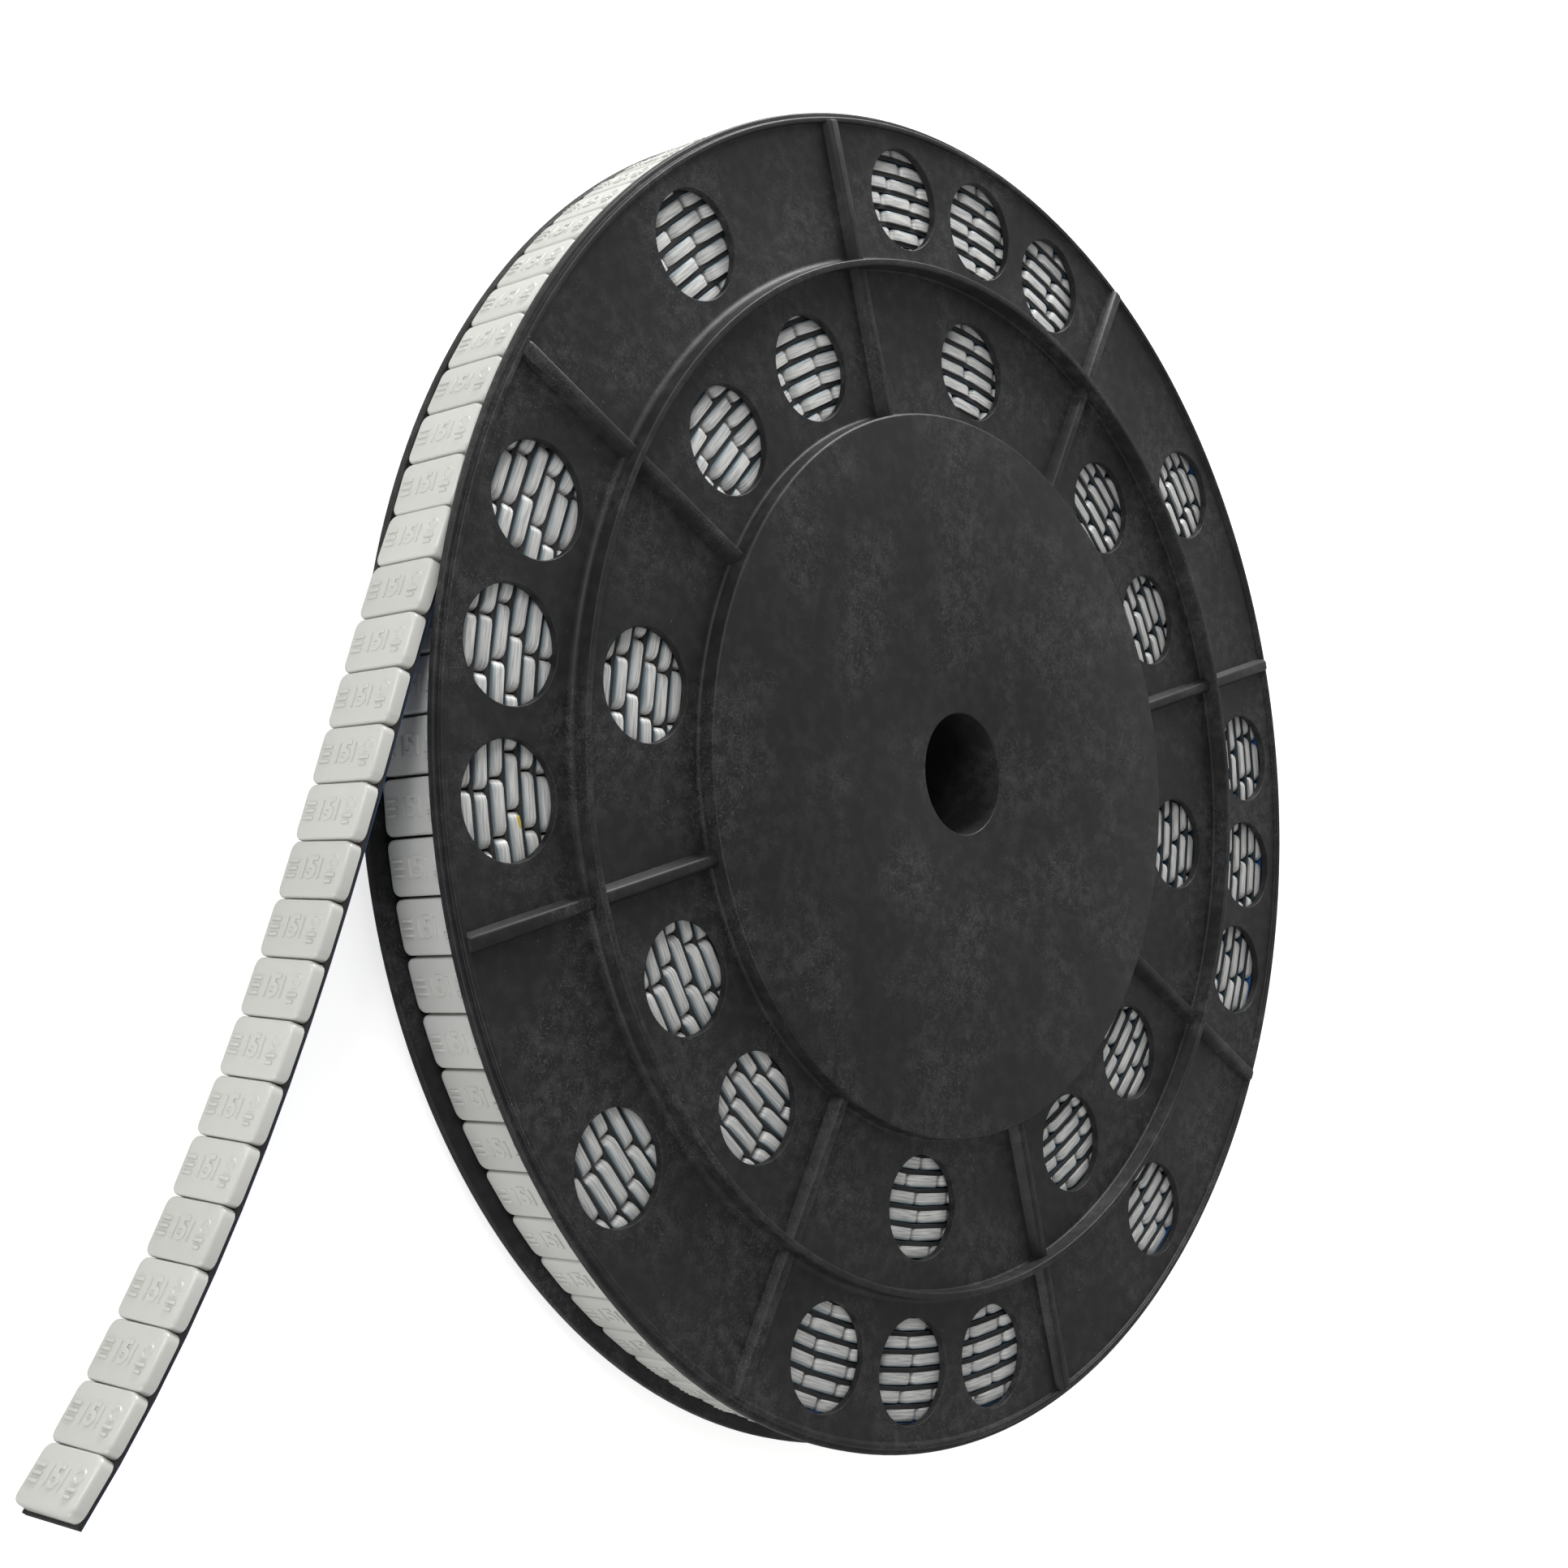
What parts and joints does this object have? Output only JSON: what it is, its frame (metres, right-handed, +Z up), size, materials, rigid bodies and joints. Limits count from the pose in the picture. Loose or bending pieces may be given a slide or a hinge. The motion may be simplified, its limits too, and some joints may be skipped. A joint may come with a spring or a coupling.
{
  "type": "wheel balance weight roll",
  "caption": "Roll of grey adhesive wheel balance weights on a black plastic reel with holed, ribbed flanges, its free strand peeled off and lying on edge.",
  "frame": {"origin": "on the reel's axis, level with the floor that the reel lies on", "axes": "+Z up along the reel's axis, +X through the middle of a group of five flange holes, close to where the tape leaves the roll"},
  "size_m": [0.376, 0.3309, 0.033],
  "materials": {
    "reel_plastic": "moulded, faintly mottled",
    "grey_coating": "glossy coating",
    "wound_weights": "zinc and foam, seen from the side",
    "foam": "closed-cell foam",
    "liner": "smooth film"
  },
  "bodies": {
    "root": {"reel_upper": "reel_plastic", "reel_lower": "reel_plastic", "inner_turns": "wound_weights", "foam_tape": "foam", "release_liner": "liner", "outer_turn_weights": "grey_coating", "strand_weight_01": "grey_coating", "strand_weight_02": "grey_coating", "strand_weight_03": "grey_coating", "strand_weight_04": "grey_coating", "strand_weight_05": "grey_coating", "strand_weight_06": "grey_coating", "strand_weight_07": "grey_coating", "strand_weight_08": "grey_coating", "strand_weight_09": "grey_coating", "strand_weight_10": "grey_coating", "strand_weight_11": "grey_coating", "strand_weight_12": "grey_coating", "strand_weight_13": "grey_coating", "strand_weight_14": "grey_coating", "strand_weight_15": "grey_coating", "strand_weight_16": "grey_coating", "strand_weight_17": "grey_coating"}
  },
  "joints": []
}
